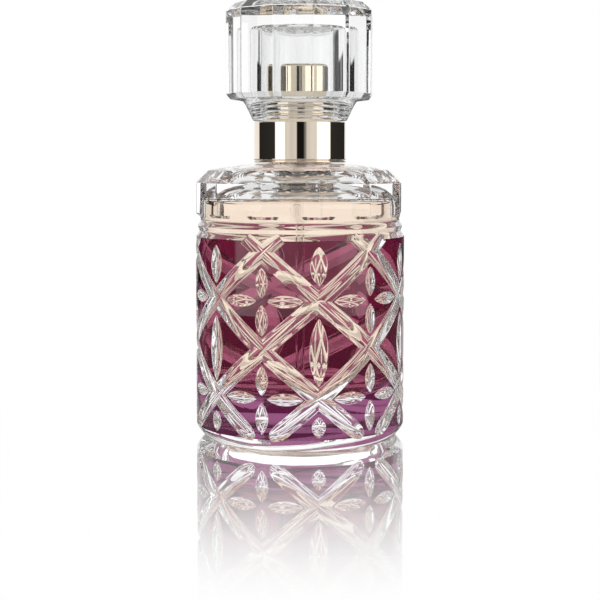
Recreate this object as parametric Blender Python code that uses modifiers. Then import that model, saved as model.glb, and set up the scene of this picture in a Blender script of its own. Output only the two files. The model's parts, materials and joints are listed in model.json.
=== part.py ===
"""Perfume bottle: cut-glass body, crimped spray pump, gold collar and actuator, twelve-sided cap.

Written in metres with +Z up. The origin is the centre of the base, where the bottle stands.
The front column of the cut pattern faces -Y, and every joint axis is the Z axis.
"""

import math

import bmesh
import bpy
from mathutils import Matrix, Vector

# Driving dimensions in millimetres, turned into metres by MM.
MM = 0.001
BODY_R = 26.0
BODY_FOOT_Z = 3.5
BODY_TOP_Z = 49.5
BAND_LOW_Z = 56.6
BAND_TOP_Z = 63.2
SHOULDER_R = 22.8
SHOULDER_Z = 66.2
CAVITY_R = 18.0
CAVITY_FLOOR_Z = 11.0
LIQUID_TOP_Z = 59.0
LIQUID_GAP = 0.15
NECK_BORE_R = 5.0
NECK_BEAD_R = 7.5
NECK_TOP_Z = 73.8
COLLAR_R = 11.45
COLLAR_LOW_Z = 68.0
COLLAR_TOP_Z = 78.1
SPIGOT_R = 8.4
SPIGOT_TOP_Z = 83.6
ACTUATOR_R = 6.5
ACTUATOR_LOW_Z = 84.3
ACTUATOR_TOP_Z = 92.1
NOZZLE_Z = 88.5
CAP_R = 18.5
CAP_MOUTH_Z = 78.4
CAP_PRISM_LOW_Z = 84.9
CAP_PRISM_TOP_Z = 105.05
CAP_TOP_Z = 107.1
CAP_TOP_R = 16.2
CAP_CAVITY_R = 9.1
CAP_CEILING_Z = 101.2
STEM_R = 1.6
PISTON_R = 2.88
CHAMBER_R = 3.0
SPRING_LOW_Z = 63.2
SPRING_TOP_Z = 70.4
SPRING_WIRE_R = 0.2
SPRING_COIL_R = 2.15
BALL_R = 1.0
BALL_Z = 60.2
TUBE_R = 0.8
TUBE_LOW_Z = 12.6
TUBE_TOP_Z = 58.3

# The cut pattern: twelve columns, a crossing every 11.5 mm, mitre grooves and lens-shaped petals.
SIDES = 12
SIDE_ANGLE = 2 * math.pi / SIDES
FRONT = -math.pi / 2
CROSSING_Z = 12.7
CROSSING_RISE = 11.5
GROOVE_LOW_Z = 0.9
GROOVE_TOP_Z = 50.8
GROOVE_WIDTH = 4.1
GROOVE_DEPTH = 1.15
PETAL_DEPTH = 0.8

BODY_STEPS = 60
CAP_STEPS = 48
SMALL_STEPS = 32

GLASS = ("clear_glass", (0.93, 0.94, 0.95), 0.03, 0.0)
LIQUID = ("perfume", (0.93, 0.80, 0.66), 0.05, 0.0)
GOLD = ("pale_gold", (0.83, 0.70, 0.50), 0.12, 1.0)
LINER = ("frosted_liner", (0.86, 0.87, 0.86), 0.30, 0.0)
WHITE = ("white_plastic", (0.90, 0.90, 0.88), 0.35, 0.0)
NATURAL = ("natural_plastic", (0.84, 0.85, 0.83), 0.30, 0.0)
RUBBER = ("dark_rubber", (0.10, 0.10, 0.10), 0.70, 0.0)
STEEL = ("steel", (0.70, 0.71, 0.72), 0.20, 1.0)
ALUMINIUM = ("aluminium", (0.80, 0.80, 0.80), 0.25, 1.0)


def clear_scene():
    for obj in list(bpy.data.objects):
        bpy.data.objects.remove(obj, do_unlink=True)


def make_collection(name):
    made = bpy.data.collections.new(name)
    bpy.context.scene.collection.children.link(made)
    return made


def material_of(spec):
    name, colour, rough, metal = spec
    found = bpy.data.materials.get(name)
    if found:
        return found
    made = bpy.data.materials.new(name)
    made.use_nodes = True
    shader = made.node_tree.nodes["Principled BSDF"]
    shader.inputs["Base Color"].default_value = (*colour, 1.0)
    shader.inputs["Roughness"].default_value = rough
    shader.inputs["Metallic"].default_value = metal
    made.diffuse_color = (*colour, 1.0)
    made.roughness = rough
    made.metallic = metal
    return made


def add_object(name, mesh, home, spec=None):
    obj = bpy.data.objects.new(name, mesh)
    home.objects.link(obj)
    if spec:
        mesh.materials.append(material_of(spec))
    return obj


def mesh_from(name, bm):
    bmesh.ops.recalc_face_normals(bm, faces=bm.faces)
    mesh = bpy.data.meshes.new(name)
    bm.to_mesh(mesh)
    bm.free()
    return mesh


def turned(name, profile, home, spec, steps=SMALL_STEPS, closed=True):
    """A body of revolution. The profile (radius, height) starts at the top and runs down its outer side."""
    mesh = bpy.data.meshes.new(name)
    points = [(radius * MM, 0.0, height * MM) for radius, height in profile]
    edges = [(i, i + 1) for i in range(len(points) - 1)]
    if closed:
        edges.append((len(points) - 1, 0))
    mesh.from_pydata(points, edges, [])
    obj = add_object(name, mesh, home, spec)
    screw = obj.modifiers.new("Turn", "SCREW")
    screw.axis = "Z"
    screw.steps = steps
    screw.render_steps = steps
    screw.use_merge_vertices = True
    screw.merge_threshold = 0.00001
    screw.use_smooth_shade = False
    return obj


def ring_points(shape, radius, height, steps):
    """One closed ring: a circle, or a regular polygon of SIDES sides with its corners on the columns."""
    points = []
    for step in range(steps):
        angle = 2 * math.pi * step / steps
        reach = radius
        if shape == "facet":
            off_middle = angle % SIDE_ANGLE - SIDE_ANGLE / 2
            reach = radius * math.cos(SIDE_ANGLE / 2) / math.cos(off_middle)
        points.append(Vector((reach * math.cos(angle), reach * math.sin(angle), height)) * MM)
    return points


def ringed(name, rings, steps, home, spec):
    """A closed body through rings of (shape, radius, height), filled across its first and last ring."""
    bm = bmesh.new()
    loops = []
    for shape, radius, height in rings:
        loops.append([bm.verts.new(point) for point in ring_points(shape, radius, height, steps)])
    for low, high in zip(loops, loops[1:]):
        for i in range(steps):
            j = (i + 1) % steps
            bm.faces.new((low[i], low[j], high[j], high[i]))
    bm.faces.new(loops[0])
    bm.faces.new(loops[-1])
    return add_object(name, mesh_from(name, bm), home, spec)


def on_body(angle, height, depth):
    radius = BODY_R - depth
    return Vector((radius * math.cos(angle), radius * math.sin(angle), height)) * MM


def wedge(name, sections, home):
    """A cutter with a V section: each section holds its left edge, keel and right edge."""
    bm = bmesh.new()
    rows = [[bm.verts.new(point) for point in section] for section in sections]
    for a, b in zip(rows, rows[1:]):
        for i in range(3):
            j = (i + 1) % 3
            bm.faces.new((a[i], a[j], b[j], b[i]))
    bm.faces.new(rows[0])
    bm.faces.new(rows[-1])
    obj = add_object(name, mesh_from(name, bm), home)
    obj.hide_render = True
    obj.display_type = "WIRE"
    return obj


def groove_cutter(name, start_angle, hand, keel_depth, home):
    """One mitre groove that climbs a twelfth of a turn for each crossing."""
    slope = math.atan2(CROSSING_RISE, BODY_R * SIDE_ANGLE)
    above = 0.7
    half = GROOVE_WIDTH / 2 * (GROOVE_DEPTH + above) / GROOVE_DEPTH
    around = half * math.sin(slope) / (BODY_R + above)
    upward = half * math.cos(slope)
    sections = []
    steps = 14
    for i in range(steps + 1):
        height = GROOVE_LOW_Z + (GROOVE_TOP_Z - GROOVE_LOW_Z) * i / steps
        angle = start_angle + hand * SIDE_ANGLE * (height - CROSSING_Z) / CROSSING_RISE
        sections.append((
            on_body(angle - hand * around, height + upward, -above),
            on_body(angle, height, keel_depth),
            on_body(angle + hand * around, height - upward, -above),
        ))
    return wedge(name, sections, home)


def petal_cutter(name, angle, height, length, width, upright, home):
    """One lens-shaped petal, pointed at both ends, standing upright or lying around the body."""
    above = 0.4
    steps = 4
    sections = []
    for i in range(steps + 1):
        along = -0.96 + 1.92 * i / steps
        swell = 1 - along * along
        depth = PETAL_DEPTH * swell
        half = width / 2 * swell * (depth + above) / depth
        middle = along * length / 2
        if upright:
            left, right = (angle - half / BODY_R, height + middle), (angle + half / BODY_R, height + middle)
            keel = (angle, height + middle)
        else:
            left, right = (angle + middle / BODY_R, height + half), (angle + middle / BODY_R, height - half)
            keel = (angle + middle / BODY_R, height)
        sections.append((on_body(*left, -above), on_body(*keel, depth), on_body(*right, -above)))
    return wedge(name, sections, home)


def flower_cutters(name, angle, height, lower_length, home):
    """Four petals around one crossing: two upright and two lying."""
    petal_cutter(name + "_up", angle, height + 4.3, 7.0, 3.2, True, home)
    petal_cutter(name + "_down", angle, height - 0.9 - lower_length / 2, lower_length, 3.2, True, home)
    reach = math.radians(12.5)
    petal_cutter(name + "_left", angle - reach, height, 8.6, 3.0, False, home)
    petal_cutter(name + "_right", angle + reach, height, 8.6, 3.0, False, home)


def pattern_cutters(home):
    for i in range(SIDES // 2):
        bold = FRONT + 2 * i * SIDE_ANGLE
        mild = bold + SIDE_ANGLE
        groove_cutter(f"groove_right_{i}", bold, 1, GROOVE_DEPTH, home)
        groove_cutter(f"groove_left_{i}", bold, -1, GROOVE_DEPTH - 0.05, home)
        petal_cutter(f"lens_mid_{i}", bold, 23.75, 15.9, 4.6, True, home)
        petal_cutter(f"lens_top_{i}", bold, 43.9, 9.2, 4.2, True, home)
        petal_cutter(f"lens_foot_{i}", bold, 6.1, 5.0, 3.4, True, home)
        flower_cutters(f"flower_high_{i}", mild, 35.7, 7.3, home)
        flower_cutters(f"flower_low_{i}", mild, 12.7, 7.6, home)


def build_bottle(home, cutters):
    """Thick cut glass: foot ring, patterned wall, two beads, faceted shoulder, neck and inner cavity."""
    outer = [
        ("round", 16.5, 0.9), ("round", 18.6, 0.5), ("round", 19.5, 0.0), ("round", 23.4, 0.0),
        ("round", 24.1, 0.6), ("round", 25.1, 1.6), ("round", 25.75, 2.55),
        ("round", BODY_R, BODY_FOOT_Z), ("round", BODY_R, BODY_TOP_Z),
        ("round", 25.6, 50.3), ("round", 25.1, 51.3), ("round", 25.5, 52.3),
        ("round", 24.95, 53.2), ("round", 24.75, 54.2), ("round", 25.3, 55.3),
        ("facet", BODY_R, BAND_LOW_Z), ("facet", BODY_R, BAND_TOP_Z),
        ("facet", SHOULDER_R, SHOULDER_Z), ("round", 17.0, 67.15), ("round", 11.6, 67.7),
    ]
    neck = [
        ("round", 7.6, 67.8), ("round", 6.6, 68.5), ("round", 6.6, 69.7), ("round", 7.3, 70.1),
        ("round", NECK_BEAD_R, 70.6), ("round", NECK_BEAD_R, 73.2), ("round", 7.1, NECK_TOP_Z),
        ("round", NECK_BORE_R, NECK_TOP_Z),
    ]
    cavity = [("round", NECK_BORE_R, 65.6), ("round", 5.7, 63.9)]
    cavity += [("round", radius, height) for radius, height in cavity_profile(0.0)]
    obj = ringed("glass_bottle", outer + neck + cavity, BODY_STEPS, home, GLASS)
    pattern_cutters(cutters)
    cut = obj.modifiers.new("Pattern", "BOOLEAN")
    cut.operand_type = "COLLECTION"
    cut.collection = cutters
    cut.operation = "DIFFERENCE"
    cut.solver = "EXACT"
    return obj


def cavity_profile(gap, top=None):
    """The cavity wall from its ceiling down to the edge of its floor, pulled in by gap."""
    points = [(8.5, 62.6), (13.5, 61.8), (16.6, 60.4), (CAVITY_R, 57.6)]
    if top is not None:
        points = [(17.3 + gap, top)]
    corner = 6.5
    for i in range(6):
        turn = math.radians(18 * i)
        radius = CAVITY_R - corner + corner * math.cos(turn)
        height = CAVITY_FLOOR_Z + corner - corner * math.sin(turn)
        points.append((radius, height))
    return [(radius - gap, height + gap * (height < 40)) for radius, height in points]


def build_liquid(home):
    wall = cavity_profile(LIQUID_GAP, LIQUID_TOP_Z)
    rings = [("round", 0.95, TUBE_LOW_Z - 0.3), ("round", 0.95, 54.6), ("round", 2.1, 54.7)]
    rings += [("round", 2.1, LIQUID_TOP_Z)]
    rings += [("round", radius, height) for radius, height in wall]
    return ringed("perfume", rings, BODY_STEPS, home, LIQUID)


def build_pump(home):
    """The fixed pieces of the crimped pump, from its gasket down to the dip tube."""
    turned("neck_gasket", [(7.1, 74.8), (7.1, 74.0), (4.6, 74.0), (4.6, 74.8)], home, RUBBER)
    turned("crimp_ferrule", [
        (3.6, 77.4), (7.7, 77.4), (8.1, 77.0), (8.1, 69.2), (7.0, 69.2), (7.0, 69.6),
        (7.7, 69.7), (7.7, 76.8), (7.5, 77.0), (3.6, 77.0),
    ], home, ALUMINIUM)
    turned("pump_housing", [
        (3.4, 75.8), (7.1, 75.8), (7.1, 75.0), (4.2, 75.0), (4.2, 63.0), (3.2, 61.2),
        (1.8, 60.2), (1.8, 55.0), (1.05, 55.0), (1.05, 58.6), (0.6, 58.6), (0.6, 59.3),
        (1.4, 60.1), (1.4, 62.1), (CHAMBER_R, 62.1), (CHAMBER_R, 74.9), (3.4, 74.9),
    ], home, NATURAL)
    turned("pump_turret", [
        (1.9, 79.6), (2.9, 79.6), (3.2, 79.3), (3.2, 76.8), (7.1, 76.8), (7.1, 76.0), (1.9, 76.0),
    ], home, WHITE)
    turned("stem_seal", [(3.2, 75.75), (3.2, 75.1), (1.75, 75.1), (1.75, 75.75)], home, RUBBER)
    turned("spring_seat", [
        (1.2, 63.0), (2.8, 63.0), (2.8, 62.3), (0.7, 62.3), (0.7, 62.6),
    ], home, NATURAL)
    turned("dip_tube", [
        (0.5, TUBE_TOP_Z), (TUBE_R, TUBE_TOP_Z), (TUBE_R, TUBE_LOW_Z), (0.5, TUBE_LOW_Z),
    ], home, NATURAL, steps=20)
    build_ball(home)
    build_spring(home)


def build_ball(home):
    bm = bmesh.new()
    bmesh.ops.create_uvsphere(bm, u_segments=16, v_segments=10, radius=BALL_R * MM)
    obj = add_object("inlet_ball", mesh_from("inlet_ball", bm), home, STEEL)
    obj.location = (0.0, 0.0, BALL_Z * MM)
    return obj


def build_spring(home):
    """A coil with closed ends, as a poly curve with filled caps."""
    turns = 6.0
    per_turn = 12
    count = int(turns * per_turn)
    low = SPRING_LOW_Z + SPRING_WIRE_R
    high = SPRING_TOP_Z - SPRING_WIRE_R
    curve = bpy.data.curves.new("return_spring", "CURVE")
    curve.dimensions = "3D"
    curve.bevel_depth = SPRING_WIRE_R * MM
    curve.bevel_resolution = 2
    curve.use_fill_caps = True
    spline = curve.splines.new("POLY")
    spline.points.add(count)
    closed_share = 1.0 / turns
    for i in range(count + 1):
        share = i / count
        climb = min(max((share - closed_share) / (1 - 2 * closed_share), 0.0), 1.0)
        pitch = 2.2 * SPRING_WIRE_R * (min(share, closed_share) + max(share - 1 + closed_share, 0.0)) * turns
        height = low + pitch + climb * (high - low - 4.4 * SPRING_WIRE_R)
        angle = 2 * math.pi * turns * share
        point = Vector((SPRING_COIL_R * math.cos(angle), SPRING_COIL_R * math.sin(angle), height)) * MM
        spline.points[i].co = (*point, 1.0)
    obj = bpy.data.objects.new("return_spring", curve)
    home.objects.link(obj)
    curve.materials.append(material_of(STEEL))
    return obj


def build_stem(home):
    """What the finger moves inside the pump: hollow stem, sliding piston and outlet poppet."""
    turned("stem", [
        (0.6, 87.8), (STEM_R, 87.8), (STEM_R, 74.75), (2.4, 74.75), (2.4, 74.15), (STEM_R, 74.15),
        (STEM_R, 71.6), (0.6, 71.6),
    ], home, WHITE)
    turned("piston", [
        (1.8, 73.9), (2.5, 73.9), (PISTON_R, 73.6), (PISTON_R, 73.2), (2.6, 72.9), (2.6, 72.1),
        (PISTON_R, 71.8), (PISTON_R, 71.4), (2.5, 71.2), (1.8, 71.2),
    ], home, NATURAL)
    turned("poppet", [
        (0.0, 74.0), (0.4, 74.0), (0.4, 71.4), (1.4, 71.3), (1.4, 71.0), (2.45, 70.95), (2.45, 70.6),
        (0.0, 70.6),
    ], home, NATURAL, closed=False)


def build_collar(home):
    """Gold shell with a stepped top that the cap grips, over a plastic sleeve."""
    turned("collar_shell", [
        (7.2, SPIGOT_TOP_Z), (8.1, SPIGOT_TOP_Z), (SPIGOT_R, 83.3), (SPIGOT_R, COLLAR_TOP_Z),
        (10.85, COLLAR_TOP_Z), (11.25, 77.95), (COLLAR_R, 77.5), (COLLAR_R, COLLAR_LOW_Z + 0.25),
        (11.3, COLLAR_LOW_Z), (11.0, COLLAR_LOW_Z), (11.0, 77.5), (10.8, 77.65), (8.0, 77.65),
        (8.0, 83.2), (7.2, 83.2),
    ], home, GOLD, steps=40)
    turned("collar_sleeve", [
        (8.5, 77.35), (10.7, 77.35), (10.7, 68.4), (8.9, 68.4), (8.5, 68.9),
    ], home, WHITE, steps=36)


def side_hole(name, radius, low_y, high_y, cutters):
    """A cutter for a round hole along +Y at the height of the nozzle."""
    bm = bmesh.new()
    bmesh.ops.create_cone(
        bm, cap_ends=True, segments=20, radius1=radius * MM, radius2=radius * MM, depth=(high_y - low_y) * MM
    )
    bmesh.ops.rotate(bm, verts=bm.verts, cent=(0, 0, 0), matrix=Matrix.Rotation(math.pi / 2, 3, "X"))
    obj = add_object(name, mesh_from(name, bm), cutters)
    obj.location = (0.0, (low_y + high_y) / 2 * MM, NOZZLE_Z * MM)
    obj.hide_render = True
    obj.display_type = "WIRE"
    return obj


def cut_with(obj, cutter):
    cut = obj.modifiers.new("Cut", "BOOLEAN")
    cut.object = cutter
    cut.operation = "DIFFERENCE"
    cut.solver = "EXACT"


def build_actuator(home, cutters):
    """Finger button: gold cup over a plastic core, with the spray nozzle in its far side."""
    shell = turned("actuator_shell", [
        (0.0, ACTUATOR_TOP_Z), (5.6, ACTUATOR_TOP_Z), (6.15, 91.95), (6.4, 91.65), (ACTUATOR_R, 91.2),
        (ACTUATOR_R, ACTUATOR_LOW_Z), (6.1, ACTUATOR_LOW_Z), (6.1, 91.4), (5.8, 91.7), (0.0, 91.7),
    ], home, GOLD, steps=40, closed=False)
    cut_with(shell, side_hole("shell_hole", 1.9, 4.5, 8.0, cutters))
    core = turned("actuator_core", [
        (0.0, 91.4), (5.5, 91.4), (5.9, 91.0), (5.9, 84.8), (2.9, 84.8), (2.9, ACTUATOR_LOW_Z),
        (1.7, ACTUATOR_LOW_Z), (1.7, 88.0), (0.6, 88.0), (0.6, 89.0), (0.0, 89.0),
    ], home, WHITE, closed=False)
    cut_with(core, side_hole("core_pocket", 1.7, 3.4, 8.0, cutters))
    cut_with(core, side_hole("core_channel", 0.35, 0.0, 4.0, cutters))
    build_nozzle(home)


def build_nozzle(home):
    """The spray insert lies along +Y, with a fine orifice and a dished face."""
    profile = [
        (0.15, 0.0), (1.5, 0.0), (1.5, -2.5), (0.9, -2.5), (0.9, -1.2), (0.15, -0.6),
    ]
    obj = turned("nozzle_insert", profile, home, WHITE, steps=24)
    obj.location = (0.0, 6.35 * MM, NOZZLE_Z * MM)
    obj.rotation_euler = (-math.pi / 2, 0.0, 0.0)
    return obj


def build_cap(home):
    """Solid clear cap with twelve sides, a flared foot and a round hollow over the actuator."""
    flare = [
        ("round", 10.1, CAP_MOUTH_Z), ("round", 11.7, CAP_MOUTH_Z), ("round", 12.0, 79.1),
        ("round", 12.5, 80.1), ("round", 13.0, 81.1), ("round", 13.5, 82.1), ("round", 14.25, 83.1),
    ]
    prism = [
        ("facet", 17.5, 83.6), ("facet", CAP_R, CAP_PRISM_LOW_Z), ("facet", CAP_R, CAP_PRISM_TOP_Z),
        ("facet", CAP_TOP_R, CAP_TOP_Z),
    ]
    hollow = [
        ("round", CAP_CAVITY_R - 1.2, CAP_CEILING_Z), ("round", CAP_CAVITY_R - 0.35, 100.85),
        ("round", CAP_CAVITY_R, 100.0), ("round", CAP_CAVITY_R, 84.6), ("round", 9.9, 84.4),
    ]
    rings = prism[::-1] + flare[::-1] + hollow[::-1]
    ringed("cap_crystal", rings, CAP_STEPS, home, GLASS)
    turned("cap_liner", [
        (8.7, 84.1), (9.3, 84.1), (9.3, 83.3), (9.7, 83.1), (9.7, 82.3), (9.3, 82.1), (9.3, 81.3),
        (9.7, 81.1), (9.7, 80.3), (9.3, 80.1), (9.3, 79.5), (9.7, 79.3), (9.7, 78.5), (8.7, 78.5),
    ], home, LINER, steps=40)


def main():
    clear_scene()
    home = make_collection("perfume_bottle")
    cutters = make_collection("cutters")
    cutters.hide_render = True
    pattern = bpy.data.collections.new("pattern_cutters")
    cutters.children.link(pattern)
    build_bottle(home, pattern)
    build_liquid(home)
    build_pump(home)
    build_stem(home)
    build_collar(home)
    build_actuator(home, cutters)
    build_cap(home)


main()
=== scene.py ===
"""Perfume bottle: cut and stained glass, perfume, pale gold collar and button, and a clear faceted cap.

Run as a script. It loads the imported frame, lays out the add-on's settings, and models each visible
piece over its CAD node. Lengths in the tables below are in millimetres and MM turns them into metres.
"""

import json
import math

import bmesh
import bpy
from mathutils import Matrix, Vector
from mathutils.bvhtree import BVHTree
from mathutils.interpolate import poly_3d_calc

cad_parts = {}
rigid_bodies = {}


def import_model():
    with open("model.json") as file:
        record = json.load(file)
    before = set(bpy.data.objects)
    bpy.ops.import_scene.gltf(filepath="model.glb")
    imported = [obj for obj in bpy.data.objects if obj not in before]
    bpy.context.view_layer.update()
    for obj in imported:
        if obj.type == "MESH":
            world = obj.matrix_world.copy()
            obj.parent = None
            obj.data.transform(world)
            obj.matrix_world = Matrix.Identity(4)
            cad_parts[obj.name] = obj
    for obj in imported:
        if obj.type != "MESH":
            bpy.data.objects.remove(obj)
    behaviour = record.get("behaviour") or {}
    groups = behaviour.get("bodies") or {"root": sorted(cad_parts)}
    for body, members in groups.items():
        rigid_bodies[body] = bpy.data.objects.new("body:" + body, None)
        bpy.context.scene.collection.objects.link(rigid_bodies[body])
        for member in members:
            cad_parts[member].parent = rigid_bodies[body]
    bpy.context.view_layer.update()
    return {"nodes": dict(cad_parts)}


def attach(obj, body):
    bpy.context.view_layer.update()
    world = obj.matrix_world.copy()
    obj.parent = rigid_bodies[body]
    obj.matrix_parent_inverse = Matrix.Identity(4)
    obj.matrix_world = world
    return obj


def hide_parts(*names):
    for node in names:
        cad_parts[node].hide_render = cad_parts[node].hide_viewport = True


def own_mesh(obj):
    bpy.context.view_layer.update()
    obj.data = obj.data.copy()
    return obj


bl_info = {
    "name": "Cut glass perfume bottle",
    "version": (1, 0, 0),
    "blender": (4, 5, 0),
    "location": "View3D > Sidebar > Perfume",
    "description": "Models a cut glass perfume bottle with its spray pump and cap",
    "category": "Object",
}

for startup_object in list(bpy.data.objects):
    bpy.data.objects.remove(startup_object, do_unlink=True)

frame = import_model()

MM = 0.001
SIDES = 12
SIDE_ANGLE = 2 * math.pi / SIDES
FRONT = -math.pi / 2
RING_POINTS = 288
SHARP_ANGLE = 18.0
GLASS_IOR = 1.5
WHITE = (1.0, 1.0, 1.0, 1.0)


# ---------------------------------------------------------------- shapes


def mesh_object(name, bm, materials, sharp=SHARP_ANGLE):
    """Makes an object of the bmesh, smooth but for edges sharper than the given angle."""
    mesh = bpy.data.meshes.new(name)
    bm.to_mesh(mesh)
    bm.free()
    for material in materials:
        mesh.materials.append(material)
    mesh.shade_smooth()
    mesh.set_sharp_from_angle(angle=math.radians(sharp))
    obj = bpy.data.objects.new(name, mesh)
    bpy.context.scene.collection.objects.link(obj)
    return obj


# The share of its radius that an eased facet corner keeps. Then, for a ring's points as shares of half a
# side from the nearest corner: the scale of the first third, and the scale and start of the rest.
CORNER_EASE = 0.9976
NEAR_SCALE = 0.32
FAR_SCALE = 1.34
FAR_START = 0.34


def facet_reach(angle, radius):
    """How far out a regular polygon with this corner radius reaches at an angle, its corners eased."""
    off_middle = angle % SIDE_ANGLE - SIDE_ANGLE / 2
    reach = radius * math.cos(SIDE_ANGLE / 2) / math.cos(off_middle)
    return min(reach, radius * CORNER_EASE)


def gathered(angle):
    """Moves the points of a ring towards the nearest facet corner, to leave room for its eased edge."""
    corner = round(angle / SIDE_ANGLE) * SIDE_ANGLE
    share = (angle - corner) / (SIDE_ANGLE / 2)
    if abs(share) < 1 / 3:
        near = NEAR_SCALE * share
    else:
        near = math.copysign(FAR_SCALE * abs(share) - FAR_START, share)
    return corner + near * SIDE_ANGLE / 2


def put_on_ring(vert, ring):
    """Moves a point of the ring in place, which keeps its angle."""
    shape, radius, height = ring
    angle = math.atan2(vert.co.y, vert.co.x)
    reach = radius if shape == "round" else facet_reach(angle, radius)
    vert.co = Vector((reach * math.cos(angle), reach * math.sin(angle), height)) * MM


def lofted(rings):
    """A closed skin through rings of (shape, radius, height), filled at its first and last ring."""
    bm = bmesh.new()
    bmesh.ops.create_circle(bm, cap_ends=True, segments=RING_POINTS, radius=1.0)
    for vert in bm.verts:
        angle = gathered(math.atan2(vert.co.y, vert.co.x))
        vert.co = (math.cos(angle), math.sin(angle), 0.0)
        put_on_ring(vert, rings[0])
    edges = bm.edges[:]
    for ring in rings[1:]:
        made = bmesh.ops.extrude_edge_only(bm, edges=edges)["geom"]
        fresh = {item for item in made if isinstance(item, bmesh.types.BMVert)}
        for vert in fresh:
            put_on_ring(vert, ring)
        edges = [e for e in bm.edges if e.verts[0] in fresh and e.verts[1] in fresh]
    bmesh.ops.contextual_create(bm, geom=edges)
    bmesh.ops.recalc_face_normals(bm, faces=bm.faces)
    return bm


def eased(points, parts=3):
    """A smooth run through (radius, height) points, by Catmull-Rom."""
    run = []
    ends = [points[0]] + list(points) + [points[-1]]
    for a, b, c, d in zip(ends, ends[1:], ends[2:], ends[3:]):
        for i in range(parts):
            t = i / parts
            run.append(tuple(
                0.5 * (2 * q + (r - p) * t + (2 * p - 5 * q + 4 * r - s) * t * t
                       + (3 * q - p - 3 * r + s) * t ** 3)
                for p, q, r, s in zip(a, b, c, d)
            ))
    run.append(points[-1])
    return run


LONGEST_CUT = 0.42  # the most that one corner takes of a straight
HOLD = 0.06  # from a softened corner to the point that keeps a long straight flat, in millimetres
LONG_STRAIGHT = 4  # how many times its corner's cut a straight is before it is held flat


def softened(profile, reach, parts, closed=True):
    """Rounds every corner of a (radius, height) profile by the given reach, and holds the straights flat."""
    run = []
    count = len(profile)
    for i, point in enumerate(profile):
        if not closed and i in (0, count - 1):
            run.append(point)
            continue
        here = Vector(point)
        before = Vector(profile[i - 1])
        after = Vector(profile[(i + 1) % count])
        cut = min(reach, (before - here).length * LONGEST_CUT, (after - here).length * LONGEST_CUT)
        back = (before - here).normalized()
        on = (after - here).normalized()
        start = here + back * cut
        stop = here + on * cut
        if (before - here).length > LONG_STRAIGHT * cut:
            run.append(tuple(start + back * HOLD))
        for j in range(parts + 1):
            t = j / parts
            run.append(tuple((1 - t) ** 2 * start + 2 * t * (1 - t) * here + t * t * stop))
        if (after - here).length > LONG_STRAIGHT * cut:
            run.append(tuple(stop + on * HOLD))
    return run


def turned(profile, steps, closed=True):
    """Spins a (radius, height) profile about the Z axis into a closed body."""
    bm = bmesh.new()
    verts = [bm.verts.new(Vector((radius, 0.0, height)) * MM) for radius, height in profile]
    for a, b in zip(verts, verts[1:]):
        bm.edges.new((a, b))
    if closed:
        bm.edges.new((verts[-1], verts[0]))
    bmesh.ops.spin(
        bm, geom=bm.verts[:] + bm.edges[:], cent=(0, 0, 0), axis=(0, 0, 1),
        angle=2 * math.pi, steps=steps, use_merge=True,
    )
    bmesh.ops.remove_doubles(bm, verts=bm.verts, dist=1e-7)
    bmesh.ops.recalc_face_normals(bm, faces=bm.faces)
    return bm


def on_wall(radius, angle, height, depth):
    """A point in metres at that depth under the wall."""
    out = radius - depth
    return Vector((out * math.cos(angle), out * math.sin(angle), height)) * MM


SCOOP_STOPS = (1.04, 0.98, 0.94, 0.89, 0.82, 0.72, 0.58, 0.40, 0.20)
SCOOP_LIP = 0.03
SCOOP_TOP = 0.3


def scoop_section(half, deep):
    """(across, depth) points of a round scoop with softened lips, closed well above the wall."""
    lip = [(t * half, -SCOOP_LIP if t > 1 else deep * (1 - t * t) * (1 - t ** 7)) for t in SCOOP_STOPS]
    rim = (SCOOP_STOPS[0] * half, -SCOOP_TOP)
    right = [rim] + lip + [(0.0, deep)]
    return right + [(-across, depth) for across, depth in reversed(right[:-1])]


def add_scoop(bm, sections):
    """Adds one cutter, drawn out from each section to the next and filled at both ends."""
    corners = [bm.verts.new(point) for point in sections[0]]
    edges = list(bm.faces.new(corners).edges)
    for section in sections[1:]:
        made = bmesh.ops.extrude_edge_only(bm, edges=edges)["geom"]
        fresh = {item for item in made if isinstance(item, bmesh.types.BMVert)}
        corners = [next(e.other_vert(c) for e in c.link_edges if e.other_vert(c) in fresh) for c in corners]
        edges = [bm.edges.get((corners[i], corners[i - 1])) for i in range(len(corners))]
        for vert, point in zip(corners, section):
            vert.co = point
    bmesh.ops.contextual_create(bm, geom=edges)


def finish_piece(obj, body, node):
    """Puts the piece in place of its CAD node, on the body it moves with."""
    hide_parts(node)
    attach(obj, body)


# ---------------------------------------------------------------- materials


def new_material(name, colour, **sockets):
    """A Principled material. Each extra argument names a socket, with underscores for its spaces."""
    material = bpy.data.materials.new(name)
    material.use_nodes = True
    shader = material.node_tree.nodes["Principled BSDF"]
    shader.inputs["Base Color"].default_value = (*colour[:3], 1.0)
    for socket, value in sockets.items():
        shader.inputs[socket.replace("_", " ")].default_value = value
    return material


def shader_of(material):
    return material.node_tree.nodes["Principled BSDF"]


EVEN = (1.0, 1.0, 1.0)
RIPPLE_DETAIL = 1.0
MOTTLE_DETAIL = 3.0
MOTTLE_SPREAD = (0.35, 0.65)


def object_noise(material, scale, detail, stretch):
    """A noise on the piece's own coordinates, in cycles per metre."""
    nodes, links = material.node_tree.nodes, material.node_tree.links
    place = nodes.new("ShaderNodeTexCoord")
    scaled = nodes.new("ShaderNodeMapping")
    scaled.inputs["Scale"].default_value = stretch
    noise = nodes.new("ShaderNodeTexNoise")
    noise.inputs["Scale"].default_value = scale
    noise.inputs["Detail"].default_value = detail
    links.new(place.outputs["Object"], scaled.inputs["Vector"])
    links.new(scaled.outputs["Vector"], noise.inputs["Vector"])
    return noise


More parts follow.
